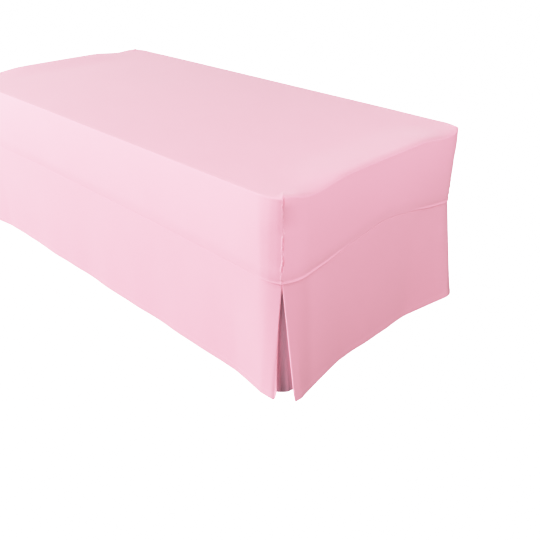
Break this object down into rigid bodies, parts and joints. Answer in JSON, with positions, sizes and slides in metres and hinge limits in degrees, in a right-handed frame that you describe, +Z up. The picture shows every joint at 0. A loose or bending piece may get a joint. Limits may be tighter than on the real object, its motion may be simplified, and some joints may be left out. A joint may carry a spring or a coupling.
{
  "type": "bed skirt on a mattress and bed base",
  "caption": "Plain cloth bed skirt sewn to a fitted mattress cover, with inverted pleats that open at the corners, on a plain mattress and bed base.",
  "frame": {"origin": "on the floor under the middle of the bed", "axes": "+X towards the foot end along the bed's length, +Y across the bed to its right side seen from the foot end looking at the head end, +Z up"},
  "size_m": [1.976, 0.9439, 0.657],
  "materials": {
    "pink_cloth": "plain woven cotton blend, matt",
    "mattress_ticking": "plain ticking",
    "base_cloth": "plain upholstery cloth",
    "leg_plastic": "black, matt"
  },
  "bodies": {
    "root": {"fitted_cover": "pink_cloth", "skirt_left": "pink_cloth", "skirt_foot": "pink_cloth", "skirt_right": "pink_cloth", "skirt_head": "pink_cloth", "pleat_left_foot": "pink_cloth", "pleat_foot_right": "pink_cloth", "pleat_right_head": "pink_cloth", "pleat_head_left": "pink_cloth", "mattress": "mattress_ticking", "bed_base": "base_cloth", "leg_head_left": "leg_plastic", "leg_head_right": "leg_plastic", "leg_foot_left": "leg_plastic", "leg_foot_right": "leg_plastic"}
  },
  "joints": []
}
